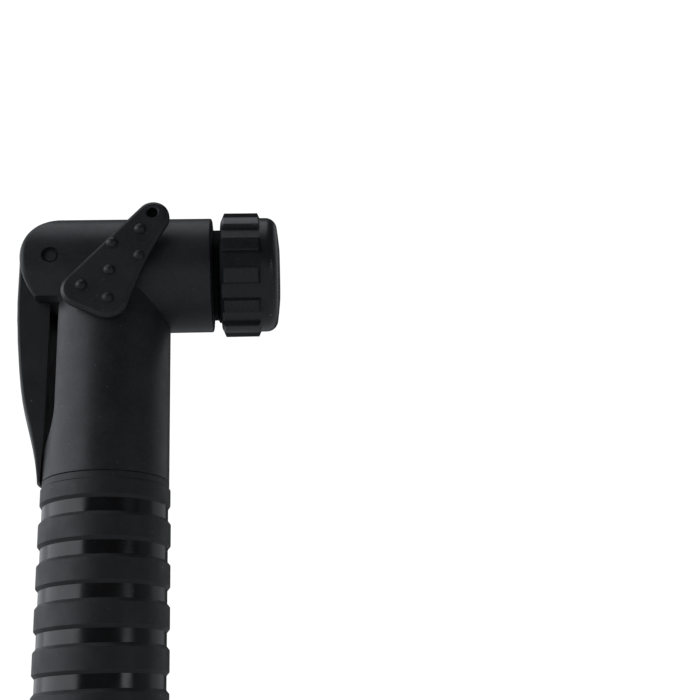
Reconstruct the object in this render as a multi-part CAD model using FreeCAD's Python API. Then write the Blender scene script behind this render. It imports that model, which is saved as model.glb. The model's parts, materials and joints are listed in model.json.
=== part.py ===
import FreeCAD
import Part
import math
import os

# Hand pump for bicycle tyres and sprung forks. Its barrel slides out of a ribbed handle sleeve.
# Millimetres. Z runs up the barrel axis from the flat foot, X is the valve axis, -Y is the front.

V = FreeCAD.Vector
X, Y, Z = V(1, 0, 0), V(0, 1, 0), V(0, 0, 1)

# ---- driving dimensions ----
VALVE_Z = 187.0        # height of the valve axis over the foot
SEAM_Z = 145.0         # joint between head and handle
SEAM_GAP = 0.1
SEAM_CHAMFER = 0.08

RUN = 0.05             # radial clearance of a running fit
SLIDE = 0.03           # radial clearance of a seal in its bore

# handle
GRIP_R = 12.0          # rubber bands
GROOVE_R = 11.48       # sleeve between the bands
SLEEVE_IN_R = 10.3
SPIGOT_R = 11.0        # sleeve ends inside collar and end cap
BAND_SEAT = 0.25       # depth of a band's seat in the sleeve
BAND_COUNT = 17
BAND_PITCH = 7.53
GROOVE_W = 2.43
BAND_BEVEL = 0.65
COLLAR_LOW_Z = 140.15
COLLAR_R = 11.9
CAP_TOP_Z = COLLAR_LOW_Z - GROOVE_W - BAND_COUNT * BAND_PITCH
FOOT_EDGE = 2.6        # rounding round the foot
PLUG_R = 8.6
PLUG_T = 1.6

# barrel and piston
BARREL_R = 10.0
BORE_R = 9.0
BARREL_LOW_Z = 20.0
BARREL_TOP_Z = 152.0
SPIGOT_LOW_Z = 138.5   # underside of the head inside the barrel
BUSH_TOP_Z = 28.0
ROD_R = 3.0
ROD_STUB_R = 2.2
ROD_LOW_Z = 6.5
PISTON_LOW_Z = 129.0
PISTON_T = 3.0
CUP_BASE_T = 2.5
CUP_H = 5.2
SCREW_R = 1.25

# check valve in the head's spigot
CHAMBER_R = 4.0
CHAMBER_TOP_Z = 149.0
SEAT_TOP_Z = 141.6
BALL_R = 1.6
BALL_Z = SEAT_TOP_Z + 1.1

# head
TUBE_R = 11.65
HEAD_R = 11.33
HEAD_REAR_X = -16.0
HEAD_FRONT_X = 20.0
REAR_ROUND = 11.0      # the top rear corner, seen from the side
REAR_EDGE = 1.1        # rounding of the rear end's rim
NECK_R = 9.0
NECK_END_X = 27.5
SLOT_W = 10.4          # slot for the lever between the cheeks
SLOT_TOP = 8.2         # from the valve axis
SLOT_LOW = -7.0
SLOT_END_X = -3.2
POCKET_X = -8.8        # flat on the back of the tube behind the lever
POCKET_TOP = -7.3
POCKET_LOW = -28.0
POCKET_RUNOUT_R = 17.2
CHEEK_TOP = HEAD_R - REAR_ROUND      # where the cheeks' rear edge starts to curve forward
CHEEK_R = 12.0
FLAT_ROUND = 0.3
AIR_R = 1.2
AIR_IN_X = 4.9

# lock lever, plunger and the rubber that grips the valve
PIN_X = -10.17
PIN_R = 1.08
PIN_RECESS_R = 1.6
LEVER_W = 10.0
LEVER_IN_R = 11.95     # the lever's underside is hollowed round the tube
LEVER_TIP = -41.9      # from the valve axis
CAM_REST = 4.2         # cam height over the pin with the lever down
CAM_RISE = 2.4         # extra height after a quarter turn
HUB_R = 7.75
HUB_EASE = 0.6         # the hub's rear is flatter than a circle and stays behind the cheeks
BACK_R = 17.75         # crown of the lever's back, round the barrel axis
BLADE_TOP = -6.4
LEVER_ROUND = 0.5
PLUNGER_GAP = 0.05
PLUNGER_R = 6.96
PLUNGER_BORE_R = 7.0
PLUNGER_REAR_X = PIN_X + CAM_REST + PLUNGER_GAP
PLUNGER_FRONT_X = 10.0
WAIST_R = 4.0
WAIST_X = (1.0, 6.5)
DEPRESSOR_END_X = 12.7
VALVE_R = 3.95         # grips a valve thread of 7.75 mm
GROMMET_R = 6.9
GROMMET_X = (12.9, 28.3)
WASHER_X = (28.5, 29.3)
WASHER_R = 6.8

# clamp cap
CAP_REAR_X = 21.7
CAP_END_X = 33.5       # crown of the domed end
CAP_DOME_R = 65.0
CAP_NOSE_R = 2.3
CAP_BACK_ROUND = 0.85
CAP_R = 11.36
RIB_R = 12.33
RIB_END_X = 29.5
RIB_COUNT = 12
FLUTE_W = 2.8
RIB_ROUND = 0.25
FLUTE_TURN = 8.0       # degrees that the first flute stands below the front
CAP_BORE_R = 9.7
CAP_WALL_X = 29.5
MOUTH_R = 4.6

# selector lever on the front of the head
SELECTOR = V(1.2, 0, -4.2)
PLATE_FRONT_Y = -13.5
PLATE_BACK_Y = -12.0
EYE = V(9.07, 0, 7.63)
EYE_R = 1.0
EYE_DEPTH = 1.15
DOME_R = 1.15
PLATE_BEVEL = 0.6
PLATE_ROUND = 0.3
DOMES = ((6.8, 4.1), (6.7, -1.35), (1.6, 1.3), (1.25, -4.2), (1.1, -9.8), (-3.8, -7.2))
SPINDLE_R = 2.2
SPINDLE_END_Y = -7.6
SELECTOR_BUSH_R = 3.4
SELECTOR_PORT_R = 0.8


def cyl(r, start, axis, length):
    return Part.makeCylinder(r, length, start, axis)


def upright(r, low, high, inner=0.0):
    """Cylinder or ring round the barrel axis."""
    body = cyl(r, V(0, 0, low), Z, high - low)
    return body.cut(cyl(inner, V(0, 0, low - 1), Z, high - low + 2)) if inner else body


def level(r, rear, front, inner=0.0):
    """Cylinder or ring round the valve axis, from the valve axis's own height."""
    body = cyl(r, V(rear, 0, 0), X, front - rear)
    return body.cut(cyl(inner, V(rear - 1, 0, 0), X, front - rear + 2)) if inner else body


def lift(shape):
    """Moves a piece drawn round the valve axis to its height."""
    return shape.translated(V(0, 0, VALVE_Z))


def face_xz(start, *steps):
    """Closed face in the XZ plane. A step is an end point, or (middle, end) for an arc."""
    edges = []
    here = start
    for step in steps + (start,):
        is_arc = isinstance(step[0], tuple)
        end = step[1] if is_arc else step
        a, b = V(here[0], 0, here[1]), V(end[0], 0, end[1])
        if is_arc:
            edges.append(Part.Arc(a, V(step[0][0], 0, step[0][1]), b).toShape())
        elif (a - b).Length > 1e-6:
            edges.append(Part.makeLine(a, b))
        here = end
    return Part.Face(Part.Wire(edges))


def arc_point(centre, r, degrees):
    a = math.radians(degrees)
    return (centre[0] + r * math.cos(a), centre[1] + r * math.sin(a))


def spin_z(face):
    return face.revolve(V(0, 0, 0), Z, 360)


def spin_x(face):
    return face.revolve(V(0, 0, 0), X, 360)


def wide(face, width):
    """Pushes an XZ face to both sides of the XZ plane."""
    return face.translated(V(0, -width / 2, 0)).extrude(V(0, width, 0))


def ring_seal(major, minor, centre, axis):
    return Part.makeTorus(major, minor, centre, axis)


# ---- handle ----

def end_cap():
    floor = 4.5
    boss_r, boss_top = 5.5, 13.0
    well = 3.6
    well_top = PLUG_T + 3.2
    rim = 0.2
    edge = (GRIP_R - FOOT_EDGE, FOOT_EDGE + rim)
    return spin_z(face_xz(
        (PLUG_R, rim), (GRIP_R - FOOT_EDGE, rim),
        (arc_point(edge, FOOT_EDGE, -45), (GRIP_R, FOOT_EDGE + rim)),
        (GRIP_R, CAP_TOP_Z - BAND_BEVEL), (GROOVE_R, CAP_TOP_Z), (SPIGOT_R, CAP_TOP_Z),
        (SPIGOT_R, floor), (boss_r, floor), (boss_r, boss_top), (ROD_R, boss_top),
        (ROD_R, ROD_LOW_Z), (SCREW_R, ROD_LOW_Z), (SCREW_R, well_top - 0.8),
        (well, well_top - 0.8), (well, PLUG_T), (PLUG_R, PLUG_T)))


def end_plug():
    dish = 0.5
    return spin_z(face_xz(
        (0, 0), (PLUG_R - dish, 0), (arc_point((PLUG_R - dish, dish), dish, -45), (PLUG_R, dish)),
        (PLUG_R, PLUG_T), (0, PLUG_T)))


def rod_screw():
    head_low, head_top, head_r = 2.0, 4.0, 3.2
    head = upright(head_r, head_low, head_top)
    key = Part.Face(Part.makePolygon(
        [V(1.5 * math.cos(math.pi * k / 3), 1.5 * math.sin(math.pi * k / 3), head_low) for k in range(7)]))
    return head.fuse(upright(SCREW_R, head_top, 16.0)).cut(key.extrude(V(0, 0, 1.2)))


def handle_sleeve():
    floor = 4.5
    collar_seat = 142.9
    body = upright(GROOVE_R, CAP_TOP_Z, COLLAR_LOW_Z)
    body = body.fuse([upright(SPIGOT_R, floor, CAP_TOP_Z), upright(SPIGOT_R, COLLAR_LOW_Z, collar_seat)])
    seats = [upright(GRIP_R, low, low + BAND_PITCH - GROOVE_W, GROOVE_R - BAND_SEAT)
             for low in band_lows()]
    return body.cut([upright(SLEEVE_IN_R, floor - 1, collar_seat + 1)] + seats).removeSplitter()


def band_lows():
    return [CAP_TOP_Z + GROOVE_W + k * BAND_PITCH for k in range(BAND_COUNT)]


def grip_bands():
    """One rubber ring for each seat of the sleeve."""
    height = BAND_PITCH - GROOVE_W
    inner = GROOVE_R - BAND_SEAT
    ring = spin_z(face_xz(
        (inner, 0), (GROOVE_R, 0), (GRIP_R, BAND_BEVEL), (GRIP_R, height - BAND_BEVEL),
        (GROOVE_R, height), (inner, height)))
    return Part.makeCompound([ring.translated(V(0, 0, low)) for low in band_lows()])


def grip_collar():
    top = SEAM_Z - SEAM_GAP / 2
    seat = 143.0
    step = 143.75
    return spin_z(face_xz(
        (BARREL_R + RUN, seat), (SPIGOT_R, seat), (SPIGOT_R, COLLAR_LOW_Z), (GROOVE_R, COLLAR_LOW_Z),
        (COLLAR_R, COLLAR_LOW_Z + BAND_BEVEL), (COLLAR_R, step - 0.25), (TUBE_R, step),
        (TUBE_R, top - SEAM_CHAMFER), (TUBE_R - SEAM_CHAMFER, top), (BARREL_R + RUN + 0.3, top),
        (BARREL_R + RUN, top - 0.3)))


def closing_bumper():
    return upright(7.0, 13.0, 17.6, ROD_R)


def piston_rod():
    stub_top = PISTON_LOW_Z + PISTON_T + CUP_BASE_T - 0.2
    body = upright(ROD_R, ROD_LOW_Z, PISTON_LOW_Z).fuse(upright(ROD_STUB_R, PISTON_LOW_Z, stub_top))
    low_hole = upright(SCREW_R, ROD_LOW_Z - 1, 17.0)
    top_hole = upright(SCREW_R, stub_top - 9.0, stub_top + 1)
    return body.cut([low_hole, top_hole])


def piston_head():
    return upright(BORE_R - 0.3, PISTON_LOW_Z, PISTON_LOW_Z + PISTON_T, ROD_STUB_R)


def piston_cup():
    low = PISTON_LOW_Z + PISTON_T
    lip = BORE_R - SLIDE
    return spin_z(face_xz(
        (ROD_STUB_R, low), (lip - 0.4, low), (lip, low + 1.5), (lip, low + CUP_H), (lip - 0.9, low + CUP_H),
        (lip - 1.5, low + CUP_BASE_T), (ROD_STUB_R, low + CUP_BASE_T)))


def piston_screw():
    low = PISTON_LOW_Z + PISTON_T + CUP_BASE_T
    head = upright(3.2, low, low + 1.7)
    slot = Part.makeBox(8, 0.8, 0.8, V(-4, -0.4, low + 0.9))
    return head.cut(slot).fuse(upright(SCREW_R, low - 8.5, low))


# ---- barrel ----

def barrel_tube():
    return upright(BARREL_R, BARREL_LOW_Z, BARREL_TOP_Z, BORE_R)


def barrel_bush():
    """Closes the barrel's open end, guides the rod and runs in the sleeve with its flange."""
    flange_low = 18.0
    flange = upright(SLEEVE_IN_R - 0.1, flange_low, BARREL_LOW_Z)
    body = flange.fuse(upright(BORE_R, BARREL_LOW_Z, BUSH_TOP_Z))
    return body.cut(upright(ROD_R + RUN, flange_low - 1, BUSH_TOP_Z + 1))


def barrel_o_ring():
    return ring_seal(8.4, 0.5, V(0, 0, SPIGOT_LOW_Z + 8.2), Z)


def check_valve_seat():
    body = upright(CHAMBER_R, SPIGOT_LOW_Z, SEAT_TOP_Z)
    bore = upright(0.9, SPIGOT_LOW_Z - 1, SEAT_TOP_Z + 1)
    cone = Part.makeCone(0.9, 1.7, 0.8, V(0, 0, SEAT_TOP_Z - 0.8), Z)
    ball_room = Part.makeSphere(BALL_R + 0.02, V(0, 0, BALL_Z))
    return body.cut([bore, cone, ball_room])


def check_ball():
    return Part.makeSphere(BALL_R, V(0, 0, BALL_Z))


def check_spring():
    """Wire of round section wound in turns that are swept one at a time."""
    wire_r, coil_r, turns = 0.2, 1.5, 4
    low = BALL_Z + BALL_R + wire_r + 0.1
    pitch = (CHAMBER_TOP_Z - wire_r - 0.1 - low) / turns
    section = Part.Wire([Part.makeCircle(wire_r, V(coil_r, 0, 0), Y)])
    turn = Part.Wire(Part.makeHelix(pitch, pitch, coil_r).Edges).makePipeShell([section], True, True)
    spring = turn.fuse([turn.translated(V(0, 0, pitch * k)) for k in range(1, turns)])
    return spring.translated(V(0, 0, low))


# ---- head: drawn round the valve axis ----

def rear_trim():
    """Material outside the head's rear end, seen from the side. The top corner is a plain arc. Below
    the pin the edge leaves the rear plane as a tangent arc, so that the lever shows behind it."""
    far = -20.0
    corner = (HEAD_REAR_X + REAR_ROUND, HEAD_R - REAR_ROUND)
    leave, arrive = arc_point(corner, REAR_ROUND, 180), arc_point(corner, REAR_ROUND, 110)
    run = 2.0
    top = (arrive[0] + run, arrive[1] + run * math.tan(math.radians(20)))
    cheek = (HEAD_REAR_X + CHEEK_R, CHEEK_TOP)
    low = 180 + math.degrees(math.asin((CHEEK_TOP - POCKET_TOP + 1.5) / CHEEK_R))
    middle, end = arc_point(cheek, CHEEK_R, (180 + low) / 2), arc_point(cheek, CHEEK_R, low)
    slope = math.radians(low - 270)
    bottom = (end[0] + 6.0, end[1] + 6.0 * math.tan(slope))
    return wide(face_xz(
        (far, top[1]), (far, bottom[1]), bottom, end, (middle, (HEAD_REAR_X, CHEEK_TOP)), leave,
        (arc_point(corner, REAR_ROUND, 145), arrive), top), 40)


def head_outside():
    barrel = spin_x(face_xz(
        (HEAD_REAR_X, 0), (HEAD_REAR_X, HEAD_R),
        (HEAD_FRONT_X - 0.4, HEAD_R), (arc_point((HEAD_FRONT_X - 0.4, HEAD_R - 0.4), 0.4, 45),
                                       (HEAD_FRONT_X, HEAD_R - 0.4)),
        (HEAD_FRONT_X, NECK_R), (NECK_END_X - 0.4, NECK_R), (NECK_END_X, NECK_R - 0.4), (NECK_END_X, 0)))
    barrel = barrel.cut(rear_trim())
    rims = [e for e in barrel.Edges if e.BoundBox.XMax < 0 and e.BoundBox.YLength < 12
            and abs(math.hypot(e.valueAt(e.FirstParameter).y, e.valueAt(e.FirstParameter).z) - HEAD_R) < 0.01
            and abs(math.hypot(e.valueAt(e.LastParameter).y, e.valueAt(e.LastParameter).z) - HEAD_R) < 0.01]
    barrel = barrel.makeFillet(REAR_EDGE, rims)
    low = SEAM_Z + SEAM_GAP / 2 - VALVE_Z
    taper_low, taper_top, taper_r = -11.5, -2.0, 11.1
    tube = spin_z(face_xz(
        (0, low), (TUBE_R - SEAM_CHAMFER, low), (TUBE_R, low + SEAM_CHAMFER), (TUBE_R, taper_low),
        (taper_r, taper_top), (0, taper_top)))
    return barrel.fuse(tube)


def back_pocket():
    """Flat on the back of the tube that leaves finger room behind the lever, run out in an arc."""
    far = -20.0
    centre = (POCKET_X - POCKET_RUNOUT_R, POCKET_LOW)
    reach = -math.degrees(math.acos((far + 6.0 - centre[0]) / POCKET_RUNOUT_R))
    end = arc_point(centre, POCKET_RUNOUT_R, reach)
    return wide(face_xz(
        (POCKET_X, POCKET_TOP), (POCKET_X, POCKET_LOW),
        (arc_point(centre, POCKET_RUNOUT_R, reach / 2), end), (far, end[1]), (far, POCKET_TOP)), 40)


def lever_slot():
    far = -20.0
    slot = wide(face_xz((far, SLOT_LOW), (SLOT_END_X, SLOT_LOW), (SLOT_END_X, SLOT_TOP), (far, SLOT_TOP)),
                SLOT_W)
    below = wide(face_xz((far, POCKET_TOP - 1), (POCKET_X, POCKET_TOP - 1), (POCKET_X, SLOT_LOW + 1),
                         (far, SLOT_LOW + 1)), SLOT_W)
    return slot.fuse(below)


def air_way():
    """Slanted hole from the check valve's chamber to the waist of the plunger."""
    start = V(0, 0, CHAMBER_TOP_Z - 1 - VALVE_Z)
    end = V(AIR_IN_X, 0, -PLUNGER_BORE_R + 1.5)
    return cyl(AIR_R, start, end - start, (end - start).Length)


def selector_hole():
    x, z = SELECTOR.x, SELECTOR.z
    hole = cyl(SELECTOR_BUSH_R, V(x, -15, z), Y, 15 - 9.4)
    bore = cyl(SPINDLE_R + RUN, V(x, -10, z), Y, 10 + SPINDLE_END_Y + 0.2)
    port = cyl(SELECTOR_PORT_R, V(x, SPINDLE_END_Y, z), Y, 3)
    return hole.fuse([bore, port])


def pin_holes():
    recess = 0.95
    holes = cyl(PIN_R, V(PIN_X, -20, 0), Y, 40)
    for side in (-1, 1):
        holes = holes.fuse(cyl(PIN_RECESS_R, V(PIN_X, side * (HEAD_R - recess), 0), Y * side, 5))
    return holes


def barrel_socket():
    """Ring shaped seat for the barrel's top end."""
    low = SEAM_Z + SEAM_GAP / 2 - 1
    return upright(BARREL_R, low, BARREL_TOP_Z, BORE_R).translated(V(0, 0, -VALVE_Z))


def head_body():
    body = head_outside().cut([back_pocket(), lever_slot()]).removeSplitter()
    flat_edges = [e for e in body.Edges if e.BoundBox.XMax < POCKET_X + 0.01
                  and e.BoundBox.ZMax < POCKET_TOP - 0.2 and e.BoundBox.ZMin > POCKET_LOW - 10]
    flat_edges = [e for e in flat_edges if not (e.BoundBox.ZLength < 0.01 and e.BoundBox.XLength < 0.01)]
    body = body.makeFillet(FLAT_ROUND, flat_edges).cut([pin_holes(), selector_hole()])
    body = body.cut([level(PLUNGER_BORE_R, -6.0, NECK_END_X + 1), barrel_socket()])
    spigot = upright(BORE_R, SPIGOT_LOW_Z, SEAM_Z + 1)
    groove = upright(BORE_R + 1, SPIGOT_LOW_Z + 7.5, SPIGOT_LOW_Z + 8.9, 7.85)
    chamber = upright(CHAMBER_R, SPIGOT_LOW_Z - 1, CHAMBER_TOP_Z)
    body = lift(body).fuse(spigot)
    groove = groove.common(upright(BORE_R, SPIGOT_LOW_Z, BARREL_TOP_Z))
    return body.cut([groove, chamber, lift(air_way())]).removeSplitter()


def lever_pin():
    half = 10.6
    return lift(cyl(PIN_R, V(PIN_X, -half, 0), Y, 2 * half))


def cam_side():
    """Side of the lever in the XZ plane: the hub round the pin, open to the rear and below. The
    hub's working side is an involute, so the plunger moves in proportion to the lever's turn."""
    rate = CAM_RISE / (math.pi / 2)
    steps = 12
    involute = []
    for k in range(steps + 1):
        turn = math.pi / 2 * k / steps
        height = CAM_REST + rate * turn
        involute.append(V(PIN_X + height * math.cos(turn) - rate * math.sin(turn), 0,
                          height * math.sin(turn) + rate * math.cos(turn)))
    curve = Part.BSplineCurve()
    curve.interpolate(involute)
    pin = (PIN_X, 0)
    far = -20.0
    inside = -10.0
    back = math.degrees(math.acos(-math.sqrt(HUB_R ** 2 - involute[-1].z ** 2) / HUB_R))
    corner, rear = arc_point(pin, HUB_R, back), arc_point(pin, HUB_R, 180)
    nose, front = arc_point(pin, CAM_REST, -45), arc_point(pin, CAM_REST, 0)
    straight = [rear, (far, 0), (far, LEVER_TIP), (inside, LEVER_TIP), (inside, BLADE_TOP + 0.8), nose]
    corners = [V(x, 0, z) for x, z in [corner] + straight + [front]]
    mid_rear = arc_point(pin, HUB_R - HUB_EASE, (back + 180) / 2)
    mid_front = arc_point(pin, CAM_REST, -22.5)
    edges = [curve.toShape(), Part.makeLine(involute[-1], corners[0]),
             Part.Arc(corners[0], V(mid_rear[0], 0, mid_rear[1]), corners[1]).toShape()]
    edges += [Part.makeLine(p, q) for p, q in zip(corners[1:6], corners[2:7])]
    edges += [Part.Arc(corners[6], V(mid_front[0], 0, mid_front[1]), corners[7]).toShape(),
              Part.makeLine(corners[7], involute[0])]
    return wide(Part.Face(Part.Wire(edges)), LEVER_W)


def crowned_ring():
    """Solid of revolution round the barrel axis that gives the lever its crowned back and, below
    the hub, its hollow underside."""
    top = 9.0
    crown = Part.BSplineCurve()
    crown.interpolate([V(r, 0, z) for r, z in (
        (BACK_R, -3.0), (17.6, -10.7), (16.9, -18.8), (15.8, -26.7), (13.85, -34.4), (12.55, LEVER_TIP))])
    corners = [V(12.55, 0, LEVER_TIP), V(LEVER_IN_R + 0.1, 0, LEVER_TIP), V(LEVER_IN_R, 0, BLADE_TOP),
               V(0, 0, BLADE_TOP), V(0, 0, top), V(BACK_R, 0, top), V(BACK_R, 0, -3.0)]
    edges = [crown.toShape()] + [Part.makeLine(p, q) for p, q in zip(corners, corners[1:])]
    return spin_z(Part.Face(Part.Wire(edges)))


def tip_trim(side):
    """Material cut from one side of the lever, so that it narrows towards its tip."""
    far, depth = -20.0, 15.0
    start, middle, end = (LEVER_W / 2, -27.0), (4.3, -36.0), (2.6, LEVER_TIP - 0.01)
    corners = [V(far, side * y, z) for y, z in (start, middle, end, (6.0, end[1]), (6.0, start[1]))]
    edges = [Part.Arc(*corners[:3]).toShape()]
    edges += [Part.makeLine(p, q) for p, q in zip(corners[2:], corners[3:] + corners[:1])]
    return Part.Face(Part.Wire(edges)).extrude(V(depth, 0, 0))


def lock_lever():
    body = crowned_ring().common(cam_side()).cut([tip_trim(1), tip_trim(-1)]).removeSplitter()
    rims = [e for e in body.Edges
            if abs(abs(e.BoundBox.Center.y) - LEVER_W / 2) < 0.01 and e.BoundBox.XMax < -11.4]
    body = body.makeFillet(LEVER_ROUND, rims)
    return lift(body.cut(cyl(PIN_R + RUN, V(PIN_X, -20, 0), Y, 40)))


def cam_plunger():
    rear_groove = level(PLUNGER_R + 1, -2.1, -0.7, 5.75)
    front_groove = level(PLUNGER_R + 1, 7.6, 9.0, 5.75)
    body = level(PLUNGER_R, PLUNGER_REAR_X, PLUNGER_FRONT_X)
    waist = level(PLUNGER_R + 1, WAIST_X[0], WAIST_X[1], WAIST_R)
    centre_hole = level(1.7, 3.0, PLUNGER_FRONT_X + 1)
    cross_hole = cyl(1.0, V(4.2, 0, -10), Z, 20)
    return lift(body.cut([rear_groove, front_groove, waist, centre_hole, cross_hole]))


def plunger_o_rings():
    return Part.makeCompound([lift(ring_seal(6.3, 0.5, V(x, 0, 0), X)) for x in (-1.4, 8.3)])


def core_pin():
    """Presses the valve's core open. Three fins hold it in the plunger and let air past."""
    pin = level(0.75, 5.6, DEPRESSOR_END_X)
    for k in range(3):
        fin = Part.makeBox(4.0, 0.5, 1.65, V(5.6, -0.25, 0))
        pin = pin.fuse(fin.rotated(V(0, 0, 0), X, 120 * k))
    return lift(pin.common(level(1.7, 5.0, DEPRESSOR_END_X)).removeSplitter())


def valve_grommet():
    rear, front = GROMMET_X
    return lift(spin_x(face_xz(
        (rear, VALVE_R), (rear, GROMMET_R), (front, GROMMET_R), (front, VALVE_R + 0.3),
        (front - 0.3, VALVE_R))))


# ---- clamp cap ----

def slip_washer():
    return lift(level(WASHER_R, WASHER_X[0], WASHER_X[1], MOUTH_R))


def clamp_cap():
    back = CAP_REAR_X + CAP_BACK_ROUND
    back_centre = (back, CAP_R - CAP_BACK_ROUND)
    dome_centre = (CAP_END_X - CAP_DOME_R, 0)
    reach = CAP_DOME_R - CAP_NOSE_R
    turn = math.degrees(math.asin((CAP_R - CAP_NOSE_R) / reach))      # where nose and dome meet
    nose = arc_point(dome_centre, reach, turn)
    rim = math.degrees(math.asin((MOUTH_R + 0.5) / CAP_DOME_R))
    rim_point = arc_point(dome_centre, CAP_DOME_R, rim)
    body = spin_x(face_xz(
        (CAP_REAR_X, CAP_BORE_R), (CAP_REAR_X, CAP_R - CAP_BACK_ROUND),
        (arc_point(back_centre, CAP_BACK_ROUND, 135), (back, CAP_R)), (nose[0], CAP_R),
        (arc_point(nose, CAP_NOSE_R, (90 + turn) / 2), arc_point(nose, CAP_NOSE_R, turn)),
        (arc_point(dome_centre, CAP_DOME_R, (turn + rim) / 2), rim_point),
        (rim_point[0] - 0.5, MOUTH_R), (CAP_WALL_X, MOUTH_R), (CAP_WALL_X, WASHER_R + 0.3),
        (NECK_END_X + 0.7, WASHER_R + 0.3), (NECK_END_X + 0.7, CAP_BORE_R)))
    ribs = spin_x(face_xz(
        (back - 0.6, CAP_R - 0.2), (back - 0.1, RIB_R), (RIB_END_X - 0.5, RIB_R), (RIB_END_X, CAP_R - 0.2)))
    flutes = []
    low, high = FLUTE_W / 2, FLUTE_W / 2 + 0.65      # half widths at the floor and over the crest
    for k in range(RIB_COUNT):
        corners = [V(CAP_REAR_X - 1, -y, z) for y, z in (
            (CAP_R, -low), (RIB_R + 0.5, -high), (RIB_R + 0.5, high), (CAP_R, low), (CAP_R, -low))]
        flute = Part.Face(Part.makePolygon(corners)).extrude(V(12, 0, 0))
        flutes.append(flute.rotated(V(0, 0, 0), X, FLUTE_TURN + 360 / RIB_COUNT * k))
    ribs = ribs.cut(flutes)
    crests = [e for e in ribs.Edges if e.BoundBox.XLength > 5 and
              math.hypot(e.BoundBox.Center.y, e.BoundBox.Center.z) > CAP_R + 0.5]
    return lift(body.fuse(ribs.makeFillet(RIB_ROUND, crests)).removeSplitter())


# ---- selector lever ----

def plate_outline():
    """Drop shaped plate, round at the eye, the foot and the lower left. Its right side bows in."""
    corners = ((9.2, 6.85, 3.1), (1.0, -9.6, 3.9), (-4.2, -7.8, 3.4))
    bow_r = 70.0
    sides = []
    for k, (x, z, r) in enumerate(corners):
        next_x, next_z, next_r = corners[(k + 1) % len(corners)]
        span = math.hypot(next_x - x, next_z - z)
        along = math.atan2(next_z - z, next_x - x)
        if k == 0:
            near, far = r + bow_r, next_r + bow_r
            lean = along + math.acos((near ** 2 + span ** 2 - far ** 2) / (2 * near * span))
            centre = arc_point((x, z), near, math.degrees(lean))
            back = math.atan2(centre[1] - next_z, centre[0] - next_x)
            middle = arc_point(centre, bow_r, math.degrees((lean + back) / 2) + 180)
        else:
            lean = back = along + math.acos((r - next_r) / span)
            middle = None
        sides.append((math.degrees(lean), middle, math.degrees(back)))
    steps = []
    for k, (_, middle, back) in enumerate(sides):
        x, z, r = corners[(k + 1) % len(corners)]
        turn = (sides[(k + 1) % len(sides)][0] - back) % 360 - 360
        reach, half, end = [arc_point((x, z), r, back + turn * t) for t in (0, 0.5, 1)]
        steps += [(middle, reach) if middle else reach, (half, end)]
    return face_xz(steps[-1][1], *steps)


def selector_lever():
    thick = PLATE_BACK_Y - PLATE_FRONT_Y
    plate = plate_outline().translated(V(0, PLATE_FRONT_Y, 0)).extrude(V(0, thick, 0))
    rims = [e for e in plate.Edges if all(abs(v.Point.y - PLATE_FRONT_Y) < 1e-6 for v in e.Vertexes)]
    plate = plate.makeChamfer(PLATE_BEVEL, rims)
    face_edges = [e for e in plate.Edges if all(abs(v.Point.y - PLATE_FRONT_Y) < 1e-6 for v in e.Vertexes)]
    plate = plate.makeFillet(PLATE_ROUND, face_edges)
    sink = DOME_R * 0.3
    domes = [Part.makeSphere(DOME_R, V(x, PLATE_FRONT_Y + sink, z)) for x, z in DOMES]
    front_half = Part.makeBox(60, 3, 60, V(-30, PLATE_FRONT_Y - 2, -30))
    body = plate.fuse([dome.common(front_half) for dome in domes])
    eye = cyl(EYE_R, V(EYE.x, PLATE_FRONT_Y - 2, EYE.z), Y, 2 + EYE_DEPTH)
    rim = Part.makeCone(EYE_R + 0.35, EYE_R, 0.35, V(EYE.x, PLATE_FRONT_Y, EYE.z), Y)
    socket = cyl(1.6, V(SELECTOR.x, PLATE_BACK_Y - 0.9, SELECTOR.z), Y, 2)
    return lift(body.cut([eye, rim, socket]).removeSplitter())


def selector_spindle():
    x, z = SELECTOR.x, SELECTOR.z
    stub = cyl(1.6, V(x, PLATE_BACK_Y - 0.9, z), Y, 0.9)
    shaft = cyl(SPINDLE_R, V(x, PLATE_BACK_Y, z), Y, SPINDLE_END_Y - PLATE_BACK_Y)
    flange = cyl(2.9, V(x, -9.9, z), Y, 0.4)
    groove = cyl(3.0, V(x, -9.0, z), Y, 0.8).cut(cyl(1.5, V(x, -10, z), Y, 3))
    seat = cyl(SELECTOR_PORT_R, V(x, SPINDLE_END_Y - 0.4, z), Y, 1)
    return lift(stub.fuse([shaft, flange]).cut([groove, seat]))


def selector_o_ring():
    return lift(ring_seal(1.85, 0.3, V(SELECTOR.x, -8.6, SELECTOR.z), Y))


def selector_bush():
    x, z = SELECTOR.x, SELECTOR.z
    ring = cyl(SELECTOR_BUSH_R, V(x, -11.65, z), Y, 1.65)
    return lift(ring.cut(cyl(SPINDLE_R + RUN, V(x, -13, z), Y, 5)))


NODES = {
    "end_cap": end_cap, "end_plug": end_plug, "rod_screw": rod_screw, "handle_sleeve": handle_sleeve,
    "grip_bands": grip_bands, "grip_collar": grip_collar, "closing_bumper": closing_bumper,
    "piston_rod": piston_rod, "piston_head": piston_head, "piston_cup": piston_cup,
    "piston_screw": piston_screw, "barrel_tube": barrel_tube, "barrel_bush": barrel_bush,
    "barrel_o_ring": barrel_o_ring, "check_valve_seat": check_valve_seat, "check_ball": check_ball,
    "check_spring": check_spring, "head_body": head_body, "lever_pin": lever_pin,
    "lock_lever": lock_lever, "cam_plunger": cam_plunger, "plunger_o_rings": plunger_o_rings,
    "core_pin": core_pin, "valve_grommet": valve_grommet, "slip_washer": slip_washer,
    "clamp_cap": clamp_cap, "selector_lever": selector_lever, "selector_spindle": selector_spindle,
    "selector_o_ring": selector_o_ring, "selector_bush": selector_bush}

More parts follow.
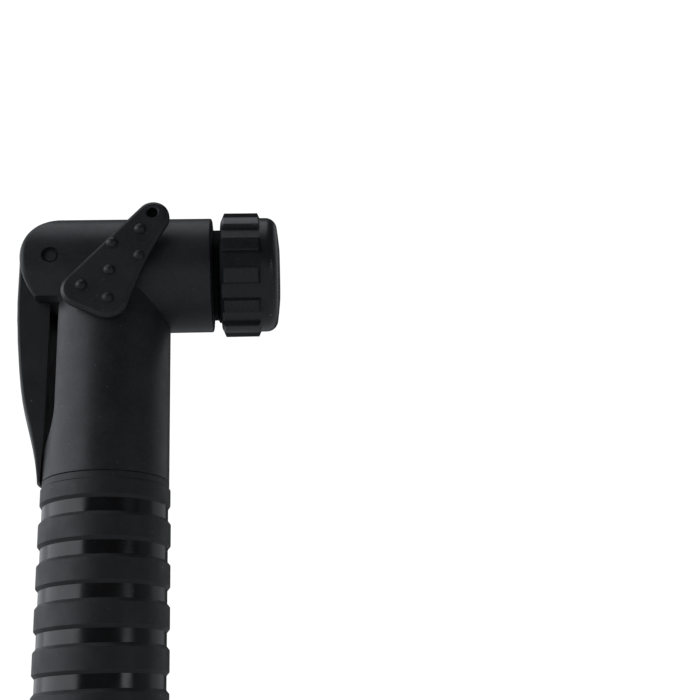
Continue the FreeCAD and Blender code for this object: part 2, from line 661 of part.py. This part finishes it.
os.makedirs("parts", exist_ok=True)
for node, make in NODES.items():
    shape = make()
    print(f"{node:18s} valid {shape.isValid()} solids {len(shape.Solids)} volume {shape.Volume:10.2f}")
    shape.exportStep(f"parts/{node}.step")
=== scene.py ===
"""Visual model of a hand pump: materials, the thread on the head's neck, studio and camera.

Metres, in the row frame: Z up the barrel axis, X along the valve axis, -Y out of the front.
"""
import json
import math

import bpy
from mathutils import Matrix, Vector


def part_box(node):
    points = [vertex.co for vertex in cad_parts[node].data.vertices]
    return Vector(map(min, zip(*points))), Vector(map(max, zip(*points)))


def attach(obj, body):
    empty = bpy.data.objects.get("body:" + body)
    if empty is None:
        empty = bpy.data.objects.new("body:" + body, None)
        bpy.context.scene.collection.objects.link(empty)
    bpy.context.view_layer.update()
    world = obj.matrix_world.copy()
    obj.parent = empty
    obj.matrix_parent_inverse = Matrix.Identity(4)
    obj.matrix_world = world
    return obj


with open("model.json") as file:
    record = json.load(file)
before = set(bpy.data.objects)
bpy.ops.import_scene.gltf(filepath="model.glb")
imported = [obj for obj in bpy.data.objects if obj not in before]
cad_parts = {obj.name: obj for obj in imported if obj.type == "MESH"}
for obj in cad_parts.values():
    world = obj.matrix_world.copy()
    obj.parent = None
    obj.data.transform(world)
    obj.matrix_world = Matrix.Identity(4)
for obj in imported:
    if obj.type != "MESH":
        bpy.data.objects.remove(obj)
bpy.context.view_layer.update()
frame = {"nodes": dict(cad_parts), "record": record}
NODES = frame["nodes"]
MM = 0.001


# ---- materials ----

SOFT_BLACK = (0.0185, 0.0193, 0.0218)
DUST_GREY = (0.17, 0.17, 0.18)
# near black painted into shaded recesses as painted shade
PAINTED_SHADE_BLACK = (0.0028, 0.0028, 0.0030)
RINGS_ROUND_Z = (0.03, 0.03, 1)               # stretch of lines that run round the barrel axis
NECK_EDGE = (20.02 * MM, 20.15 * MM)          # along X, just past the head's end face, where the painted shade on the neck starts
EYE_X, EYE_Z = 9.07 * MM, 194.63 * MM         # blind eye near the selector's tip
EYE_EDGE = (0.98 * MM, 1.06 * MM)             # from its centre, where the painted shade inside the eye fades out


class Shader:
    """A Principled material with object coordinates and a few short ways to add nodes to it."""

    def __init__(self, name, **sockets):
        self.material = bpy.data.materials.new(name)
        self.material.use_nodes = True
        self.tree = self.material.node_tree
        self.principled = self.tree.nodes["Principled BSDF"]
        for socket, value in sockets.items():
            self.principled.inputs[socket.replace("_", " ")].default_value = value
        self.coordinates = self.tree.nodes.new("ShaderNodeTexCoord").outputs["Object"]

    def join(self, source, target):
        self.tree.links.new(source, target)

    def feed(self, source, socket):
        self.join(source, self.principled.inputs[socket])

    def noise(self, size, detail=2.0, roughness=0.5, stretch=(1, 1, 1)):
        """Noise with features of about that size in metres, longer along an axis with less stretch."""
        mapping = self.tree.nodes.new("ShaderNodeMapping")
        mapping.inputs["Scale"].default_value = stretch
        self.join(self.coordinates, mapping.inputs["Vector"])
        node = self.tree.nodes.new("ShaderNodeTexNoise")
        node.inputs["Scale"].default_value = 1 / size
        node.inputs["Detail"].default_value = detail
        node.inputs["Roughness"].default_value = roughness
        self.join(mapping.outputs["Vector"], node.inputs["Vector"])
        return node.outputs["Fac"]

    def ramp(self, source, low, high, start=0.0, end=1.0):
        """Maps source from low..high to start..end, held at both ends."""
        node = self.tree.nodes.new("ShaderNodeMapRange")
        node.inputs["From Min"].default_value = low
        node.inputs["From Max"].default_value = high
        node.inputs["To Min"].default_value = start
        node.inputs["To Max"].default_value = end
        self.join(source, node.inputs["Value"])
        return node.outputs["Result"]

    def along(self, axis):
        """Object coordinate X, Y or Z in metres."""
        node = self.tree.nodes.new("ShaderNodeSeparateXYZ")
        self.join(self.coordinates, node.inputs[0])
        return node.outputs[axis]

    def math(self, operation, a, b):
        node = self.tree.nodes.new("ShaderNodeMath")
        node.operation = operation
        for socket, value in zip(node.inputs, (a, b)):
            if isinstance(value, (int, float)):
                socket.default_value = value
            else:
                self.join(value, socket)
        return node.outputs[0]

    def blend(self, amount, a, b):
        """Colour between a and b by amount. Either may be a socket or three numbers."""
        node = self.tree.nodes.new("ShaderNodeMix")
        node.data_type = "RGBA"
        self.join(amount, node.inputs["Factor"])
        for socket, value in ((node.inputs[6], a), (node.inputs[7], b)):
            if isinstance(value, tuple):
                socket.default_value = (*value, 1)
            else:
                self.join(value, socket)
        return node.outputs[2]

    def bump(self, height, distance, strength=1.0, under=None):
        """Bump of that height in metres. under is the normal of another bump below it."""
        node = self.tree.nodes.new("ShaderNodeBump")
        node.inputs["Distance"].default_value = distance
        node.inputs["Strength"].default_value = strength
        self.join(height, node.inputs["Height"])
        if under is not None:
            self.join(under, node.inputs["Normal"])
        self.feed(node.outputs["Normal"], "Normal")
        return node.outputs["Normal"]

    def specks(self, cell, radius, share, seed):
        """1 inside small round specks, in that share of cells of the given size, else 0."""
        shifted = self.tree.nodes.new("ShaderNodeMapping")
        shifted.inputs["Location"].default_value = (seed, 0, 0)
        self.join(self.coordinates, shifted.inputs["Vector"])
        cells = self.tree.nodes.new("ShaderNodeTexVoronoi")
        cells.inputs["Scale"].default_value = 1 / cell
        self.join(shifted.outputs["Vector"], cells.inputs["Vector"])
        near = self.ramp(cells.outputs["Distance"], 0.6 * radius / cell, radius / cell, 1, 0)
        parts = self.tree.nodes.new("ShaderNodeSeparateColor")
        self.join(cells.outputs["Color"], parts.inputs["Color"])
        chosen = self.math("LESS_THAN", parts.outputs["Red"], share)
        return self.math("MULTIPLY", near, chosen)

    def dusty(self, colour, amount=1.0, seed=0.0):
        """The colour with sparse pale dust: fine specks everywhere and a few larger ones."""
        fine = self.specks(1.1 * MM, 0.09 * MM, 0.13 * amount, seed)
        large = self.specks(2.2 * MM, 0.17 * MM, 0.10 * amount, seed + 0.5)
        return self.blend(self.math("MAXIMUM", fine, large), colour, DUST_GREY)


def painted_shade_on_neck(shader):
    """1 on the head's neck and its thread, else 0: there painted shade stands in for the shade of the
    clamp cap.
    """
    return shader.ramp(shader.along("X"), *NECK_EDGE)


def painted_shade_in_eye(shader):
    """1 inside the blind eye near the selector's tip, else 0: there painted shade darkens the recess.
    """
    across = shader.math("SUBTRACT", shader.along("X"), EYE_X)
    upward = shader.math("SUBTRACT", shader.along("Z"), EYE_Z)
    square = shader.math("ADD", shader.math("POWER", across, 2), shader.math("POWER", upward, 2))
    return shader.ramp(shader.math("POWER", square, 0.5), *EYE_EDGE, 1, 0)


def moulded_plastic(name, colour, roughness, dust=1.0, seed=0.0, painted_shade=None):
    """Matt black moulded plastic: fine spark-eroded grain, mottled colour, handled patches.
    The shade mask function, if given, is 1 where painted shade makes it blacker and duller, in
    recesses that the light hardly reaches."""
    shader = Shader(name, IOR=1.42)
    drift = shader.ramp(shader.noise(6 * MM, 3), 0.32, 0.66)
    darker = tuple(0.62 * c for c in colour)
    mottle = shader.ramp(shader.noise(0.7 * MM, 3, 0.7), 0.35, 0.65, 0.0, 0.30)
    lighter = tuple(1.9 * c for c in colour)
    toned = shader.blend(mottle, shader.blend(drift, darker, colour), lighter)
    surface = shader.dusty(toned, dust, seed)
    patches = shader.ramp(shader.noise(5 * MM, 4, 0.6), 0.3, 0.7, roughness - 0.05, roughness + 0.06)
    if painted_shade:
        # Painted shade: where the mask is 1 the colour goes near black and the sheen duller, standing
        # in for recesses in shadow.
        shade_amount = painted_shade(shader)
        surface = shader.blend(shade_amount, surface, PAINTED_SHADE_BLACK)
        patches = shader.math("ADD", patches, shader.math("MULTIPLY", shade_amount, 0.28))
        shader.feed(shader.ramp(shade_amount, 0, 1, 0.5, 0.12), "Specular IOR Level")
    shader.feed(surface, "Base Color")
    shader.feed(patches, "Roughness")
    grain_noise = shader.noise(0.16 * MM, 2, 0.6)
    waves = shader.bump(shader.noise(7 * MM, 1), 0.05 * MM, 0.35)
    shader.bump(grain_noise, 0.012 * MM, 0.9, waves)
    return shader.material


def grip_rubber(name, colour, roughness, seed):
    """Soft-touch rubber of the grip: finer grain and more dust than the plastic."""
    shader = Shader(name, IOR=1.44)
    drift = shader.ramp(shader.noise(1.6 * MM, 5, 0.7), 0.3, 0.7)
    darker = tuple(0.66 * c for c in colour)
    shader.feed(shader.dusty(shader.blend(drift, darker, colour), 1.3, seed), "Base Color")
    worn = shader.ramp(shader.noise(3 * MM, 4), 0.3, 0.7, roughness - 0.05, roughness + 0.07)
    shader.feed(worn, "Roughness")
    shader.bump(shader.noise(0.22 * MM, 3, 0.65), 0.016 * MM, 0.9)
    return shader.material


def polished_sleeve(name, colour):
    """Glossy black moulding between the grip bands, with faint smears and hairline scratches."""
    shader = Shader(name, IOR=1.5)
    shader.feed(shader.dusty(colour, 0.8, 3.1), "Base Color")
    smears = shader.noise(4 * MM, 4, 0.6, (1, 1, 0.5))
    shader.feed(shader.ramp(smears, 0.35, 0.7, 0.18, 0.30), "Roughness")
    rings = shader.noise(0.35 * MM, 2, 0.5, (0.04, 0.04, 1))
    shader.bump(rings, 0.0015 * MM, 0.5)
    return shader.material


def brushed_metal(name, colour, roughness, line, stretch, depth):
    """Turned or drawn metal: fine lines that run where stretch is small."""
    shader = Shader(name, Metallic=1.0)
    lines = shader.noise(line, 3, 0.6, stretch)
    lighter = tuple(min(1, 1.06 * c) for c in colour)
    darker = tuple(0.88 * c for c in colour)
    shader.feed(shader.blend(lines, darker, lighter), "Base Color")
    smears = shader.noise(8 * MM, 4, 0.6)
    both = shader.math("ADD", shader.ramp(lines, 0.2, 0.8, -0.04, 0.04),
                       shader.ramp(smears, 0.3, 0.7, roughness - 0.04, roughness + 0.06))
    shader.feed(both, "Roughness")
    shader.bump(lines, depth, 0.6)
    return shader.material


def pale_plastic(name, colour, roughness):
    """Natural acetal: waxy, slightly translucent, with faint turning marks."""
    shader = Shader(name, IOR=1.48, Subsurface_Weight=0.15)
    shader.principled.inputs["Subsurface Radius"].default_value = (0.8 * MM, 0.7 * MM, 0.5 * MM)
    drift = shader.noise(5 * MM, 3)
    shader.feed(shader.blend(drift, tuple(0.9 * c for c in colour), colour), "Base Color")
    waxy = shader.ramp(shader.noise(2 * MM, 3), 0.3, 0.7, roughness - 0.05, roughness + 0.06)
    shader.feed(waxy, "Roughness")
    shader.bump(shader.noise(0.12 * MM, 2), 0.006 * MM, 0.7)
    return shader.material


def greased_rubber(name):
    """Nitrile seal with a thin film of grease."""
    shader = Shader(name, IOR=1.5)
    film = shader.noise(1.5 * MM, 3, 0.6)
    shader.feed(shader.blend(film, (0.012, 0.012, 0.012), (0.024, 0.024, 0.022)), "Base Color")
    shader.feed(shader.ramp(film, 0.3, 0.7, 0.2, 0.42), "Roughness")
    shader.bump(shader.noise(0.3 * MM, 2), 0.01 * MM, 0.6)
    return shader.material


FINISHES = {
    "head_plastic": moulded_plastic("head_plastic", SOFT_BLACK, 0.40, 1.6, painted_shade=painted_shade_on_neck),
    "lever_plastic": moulded_plastic("lever_plastic", (0.0128, 0.0133, 0.0150), 0.44, 0.8, 1.3),
    "cap_plastic": moulded_plastic("cap_plastic", (0.0158, 0.0165, 0.0188), 0.30, 1.0, 2.1),
    "selector_plastic": moulded_plastic("selector_plastic", (0.0182, 0.0189, 0.0213), 0.40, 0.9, 4.7,
                                        painted_shade=painted_shade_in_eye),
    "sleeve_plastic": polished_sleeve("sleeve_plastic", (0.0045, 0.0046, 0.0052)),
    "grip_rubber": grip_rubber("grip_rubber", (0.0190, 0.0197, 0.0222), 0.50, 5.9),
    "foot_rubber": grip_rubber("foot_rubber", (0.026, 0.026, 0.027), 0.62, 7.3),
    "barrel_alloy": brushed_metal("barrel_alloy", (0.70, 0.71, 0.73), 0.30, 0.12 * MM,
                                  RINGS_ROUND_Z, 0.002 * MM),
    "rod_steel": brushed_metal("rod_steel", (0.56, 0.56, 0.57), 0.22, 0.10 * MM,
                               RINGS_ROUND_Z, 0.0015 * MM),
    "pin_steel": brushed_metal("pin_steel", (0.055, 0.055, 0.058), 0.50, 0.15 * MM,
                               (1, 0.2, 1), 0.003 * MM),
    "ball_steel": brushed_metal("ball_steel", (0.72, 0.72, 0.73), 0.10, 0.4 * MM,
                                (1, 1, 1), 0.0005 * MM),
    "seal_rubber": greased_rubber("seal_rubber"),
    "guide_plastic": pale_plastic("guide_plastic", (0.70, 0.68, 0.62), 0.40),
    "piston_plastic": pale_plastic("piston_plastic", (0.62, 0.60, 0.54), 0.45),
}


def finish_piece(piece, slot):
    piece.data.materials.clear()
    piece.data.materials.append(FINISHES[slot])


def finish_nodes():
    for part in frame["record"]["subparts"]:
        finish_piece(NODES[part["node"]], part["material_slot"])


# ---- thread on the head's neck ----

def mesh_piece(name, vertices, faces, body, slot):
    mesh = bpy.data.meshes.new(name)
    mesh.from_pydata(vertices, [], faces)
    mesh.update()
    for polygon in mesh.polygons:
        polygon.use_smooth = True
    piece = bpy.data.objects.new(name, mesh)
    bpy.context.scene.collection.objects.link(piece)
    finish_piece(piece, slot)
    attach(piece, body)
    return piece


def neck_thread():
    """Ridge of the thread that carries the clamp cap: a helix that tapers off at both ends."""
    axis_z = (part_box("clamp_cap")[0][2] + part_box("clamp_cap")[1][2]) / 2
    root, crest = 8.95 * MM, 9.5 * MM
    start_x, pitch, turns, steps = 20.75 * MM, 1.5 * MM, 4.0, 64
    foot, top = 0.52 * MM, 0.16 * MM      # half widths of the ridge
    taper = 0.35                          # turns over which each end fades out
    vertices, faces = [], []
    total = int(turns * steps)
    for k in range(total + 1):
        turn = k / steps
        grow = min(1.0, turn / taper, (turns - turn) / taper)
        r = root + (crest - root) * max(grow, 0.02)
        angle = 2 * math.pi * turn
        x = start_x + pitch * turn
        for dx, radius in ((-foot, root), (-top, r), (top, r), (foot, root)):
            vertices.append((x + dx, radius * math.sin(angle), axis_z + radius * math.cos(angle)))
    for k in range(total):
        a, b = 4 * k, 4 * (k + 1)
        for i in range(4):
            j = (i + 1) % 4
            faces.append((a + i, a + j, b + j, b + i))
    faces += [(3, 2, 1, 0), tuple(4 * total + i for i in range(4))]
    return mesh_piece("neck_thread", vertices, faces, "barrel", "head_plastic")


# ---- studio ----

BOX_DISTANCE = 4.5
PUMP_CENTRE = Vector((0, 0, 0.15))
STUDIO_WHITE = (0.90, 0.94, 1.0)
FLOOR_RADIUS, FLOOR_SIDES = 4.0, 96
CAMERA_PLACE = (29.8 * MM, -216.7 * MM, 94.2 * MM)
CAMERA_TILT, CAMERA_ROLL = math.radians(19.39), math.radians(2.57)
CAMERA_YAW = 0.078                            # radians
CAMERA_LENS, CAMERA_SENSOR = 60.17, 36        # both in millimetres


def soft_box(name, azimuth, elevation, width, height, radiance):
    """Rectangular light that faces the pump. Its place and its size are angles in degrees as the
    pump sees them, with azimuth 0 along +X and 90 along +Y. radiance is its brightness."""
    turn, rise = math.radians(azimuth), math.radians(elevation)
    direction = Vector((math.cos(rise) * math.cos(turn), math.cos(rise) * math.sin(turn),
                        math.sin(rise)))
    data = bpy.data.lights.new(name, "AREA")
    data.shape = "RECTANGLE"
    data.size, data.size_y = (2 * BOX_DISTANCE * math.tan(math.radians(angle) / 2)
                              for angle in (width, height))
    data.energy = radiance * math.pi * data.size * data.size_y
    data.color = STUDIO_WHITE
    box = bpy.data.objects.new(name, data)
    box.location = PUMP_CENTRE + BOX_DISTANCE * direction
    box.rotation_euler = (-direction).to_track_quat("-Z", "Y").to_euler()
    bpy.context.scene.collection.objects.link(box)


def pale_world(seen, cast):
    """Background: plain white where the camera sees it, dimmer as a source of light."""
    world = bpy.data.worlds.new("studio")
    world.use_nodes = True
    nodes, links = world.node_tree.nodes, world.node_tree.links
    background = nodes["Background"]
    path = nodes.new("ShaderNodeLightPath")
    strength = nodes.new("ShaderNodeMapRange")
    strength.inputs["To Min"].default_value = cast
    strength.inputs["To Max"].default_value = seen
    links.new(path.outputs["Is Camera Ray"], strength.inputs["Value"])
    links.new(strength.outputs["Result"], background.inputs["Strength"])
    background.inputs["Color"].default_value = (1, 1, 1, 1)
    bpy.context.scene.world = world


def pale_floor():
    """Large round sheet of pale paper that the pump stands on, faintly lit from below."""
    angles = [2 * math.pi * k / FLOOR_SIDES for k in range(FLOOR_SIDES)]
    ring = [(FLOOR_RADIUS * math.cos(a), FLOOR_RADIUS * math.sin(a), 0) for a in angles]
    mesh = bpy.data.meshes.new("floor")
    mesh.from_pydata(ring, [], [tuple(range(FLOOR_SIDES))])
    floor = bpy.data.objects.new("floor", mesh)
    bpy.context.scene.collection.objects.link(floor)
    shader = Shader("floor_paper", Roughness=0.9, Emission_Color=(1, 1, 1, 1), Emission_Strength=0.06)
    fibres = shader.noise(0.6 * MM, 3)
    shader.feed(shader.blend(fibres, (0.66, 0.66, 0.66), (0.70, 0.70, 0.70)), "Base Color")
    shader.bump(fibres, 0.02 * MM, 0.5)
    mesh.materials.append(shader.material)


def camera():
    """Slightly below the head, looking up at it, with the pump at the left of the frame."""
    tilt, roll, yaw = CAMERA_TILT, CAMERA_ROLL, CAMERA_YAW
    forward = Vector((math.cos(tilt) * math.sin(yaw), math.cos(tilt) * math.cos(yaw),
                      math.sin(tilt)))
    level = Vector((math.cos(yaw), -math.sin(yaw), 0))
    upright = level.cross(forward)
    right = math.cos(roll) * level - math.sin(roll) * upright
    up = math.sin(roll) * level + math.cos(roll) * upright
    data = bpy.data.cameras.new("camera")
    data.lens = CAMERA_LENS
    data.sensor_width = CAMERA_SENSOR
    data.clip_start = 0.01
    view = bpy.data.objects.new("camera", data)
    turn = Matrix((right, up, -forward)).transposed().to_4x4()
    view.matrix_world = Matrix.Translation(CAMERA_PLACE) @ turn
    bpy.context.scene.collection.objects.link(view)
    bpy.context.scene.camera = view


finish_nodes()
neck_thread()
pale_floor()
pale_world(seen=1.05, cast=0.04)
soft_box("left_box", 198, 12, 78, 62, 2.0)
soft_box("left_rear_box", 138, 12, 46, 60, 0.9)
soft_box("low_right_box", 322, -1, 16, 11, 3.2)
soft_box("right_box", 36, 15, 48, 60, 0.45)
soft_box("right_front_box", 356, 14, 30, 56, 0.13)
soft_box("top_box", 180, 80, 46, 40, 1.0)
camera()
bpy.context.scene.view_settings.view_transform = "Standard"
